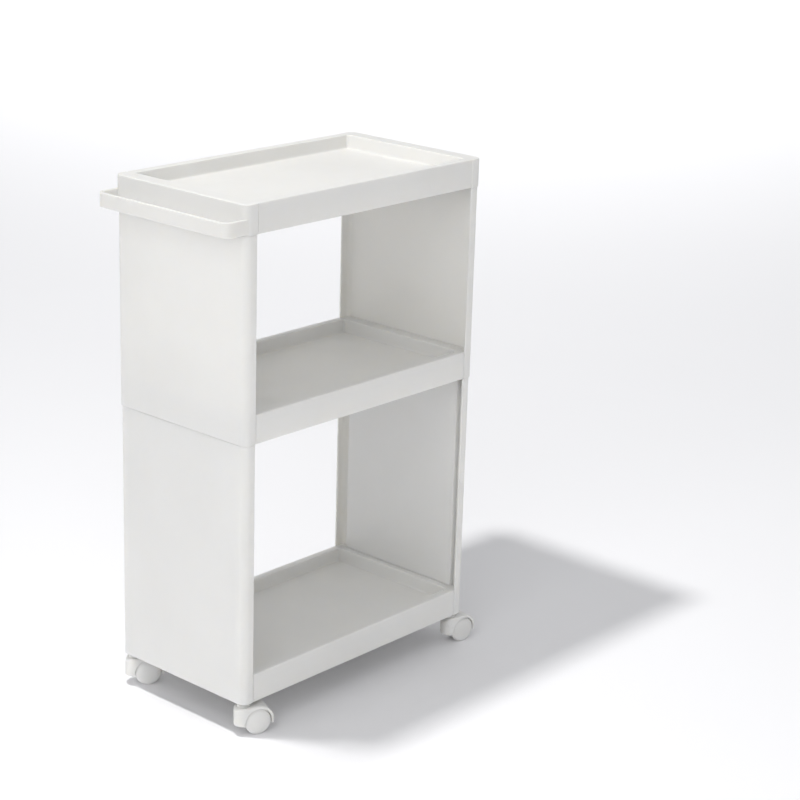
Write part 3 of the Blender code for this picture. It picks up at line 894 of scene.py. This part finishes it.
def build_floor():
    bm = bmesh.new()
    bmesh.ops.create_grid(bm, x_segments=8, y_segments=8, size=FLOOR_HALF)
    mesh = bpy.data.meshes.new("studio_floor")
    bm.to_mesh(mesh)
    bm.free()
    floor = bpy.data.objects.new("studio_floor", mesh)
    bpy.context.scene.collection.objects.link(floor)
    material = bpy.data.materials.new("studio_paper")
    material.use_nodes = True
    make, link, shader = node_maker(material)
    place = make("ShaderNodeTexCoord")
    noise = make("ShaderNodeTexNoise", Scale=3.0, Detail=3.0)
    link(place.outputs["Object"], noise.inputs["Vector"])
    low, high = (0.932, 0.931, 0.950, 1.0), (0.942, 0.941, 0.960, 1.0)
    tint(make, link, noise, shader, low, high, span=(0.0, 1.0))
    shader.inputs["Roughness"].default_value = 0.7
    floor.data.materials.append(material)


def build_room():
    """A white room, a little brighter towards its horizon than above."""
    world = bpy.data.worlds.new("studio")
    world.use_nodes = True
    tree = world.node_tree
    background = tree.nodes["Background"]
    background.inputs["Color"].default_value = (0.985, 0.99, 1.0, 1.0)
    place = tree.nodes.new("ShaderNodeTexCoord")
    axes = tree.nodes.new("ShaderNodeSeparateXYZ")
    tree.links.new(place.outputs["Generated"], axes.inputs["Vector"])
    height = tree.nodes.new("ShaderNodeMapRange")
    height.inputs["To Min"].default_value = HORIZON
    height.inputs["To Max"].default_value = ZENITH
    tree.links.new(axes.outputs["Z"], height.inputs["Value"])
    tree.links.new(height.outputs["Result"], background.inputs["Strength"])
    bpy.context.scene.world = world
    bpy.context.scene.view_settings.view_transform = "Standard"


def add_lamp(light, place, aim=None):
    """Puts a light in its place, unseen by the camera, and points it at aim."""
    obj = bpy.data.objects.new(light.name, light)
    obj.location = place
    if aim:
        obj.rotation_mode = "QUATERNION"
        direction = Vector(aim) - Vector(place)
        obj.rotation_quaternion = direction.to_track_quat("-Z", "Y")
    obj.visible_camera = False
    bpy.context.scene.collection.objects.link(obj)


def square_light(name, size, power):
    light = bpy.data.lights.new(name, "AREA")
    light.shape = "SQUARE"
    light.size = size
    light.energy = power
    return light


def build_lamps():
    """A small key lamp above the cart, a softbox to its left and a lit backdrop."""
    key = bpy.data.lights.new("key", "POINT")
    key.shadow_soft_size = KEY_RADIUS
    key.energy = KEY_POWER
    key.color = (1.0, 0.995, 0.985)
    key.use_nodes = True
    tree = key.node_tree
    even = tree.nodes.new("ShaderNodeLightFalloff")  # as bright on the floor as on the top tray
    even.inputs["Strength"].default_value = 1.0
    tree.links.new(even.outputs["Constant"], tree.nodes["Emission"].inputs["Strength"])
    add_lamp(key, KEY_PLACE)

    add_lamp(square_light("softbox", SOFTBOX_SIZE, SOFTBOX_POWER), SOFTBOX_PLACE, SOFTBOX_AIM)

    backdrop = square_light("backdrop", BACKDROP_SIZE, BACKDROP_POWER)
    backdrop.spread = BACKDROP_SPREAD
    add_lamp(backdrop, BACKDROP_PLACE, BACKDROP_AIM)


def build_camera():
    """The camera that a fit to the cart's corners in the photograph gave."""
    forward = Vector(
        (
            math.sin(CAMERA_YAW) * math.cos(CAMERA_PITCH),
            math.cos(CAMERA_YAW) * math.cos(CAMERA_PITCH),
            -math.sin(CAMERA_PITCH),
        )
    )
    level_right = Vector((math.cos(CAMERA_YAW), -math.sin(CAMERA_YAW), 0.0))
    level_up = level_right.cross(forward)
    right = level_right * math.cos(CAMERA_ROLL) + level_up * math.sin(CAMERA_ROLL)
    up = level_up * math.cos(CAMERA_ROLL) - level_right * math.sin(CAMERA_ROLL)
    camera = bpy.data.cameras.new("camera")
    camera.sensor_width = SENSOR_WIDTH
    camera.lens = LENS
    obj = bpy.data.objects.new("camera", camera)
    turn = Matrix((right, up, -forward)).transposed().to_4x4()
    turn.translation = CAMERA_PLACE
    obj.matrix_world = turn
    bpy.context.scene.collection.objects.link(obj)
    bpy.context.scene.camera = obj


build_floor()
build_room()
build_lamps()
build_camera()
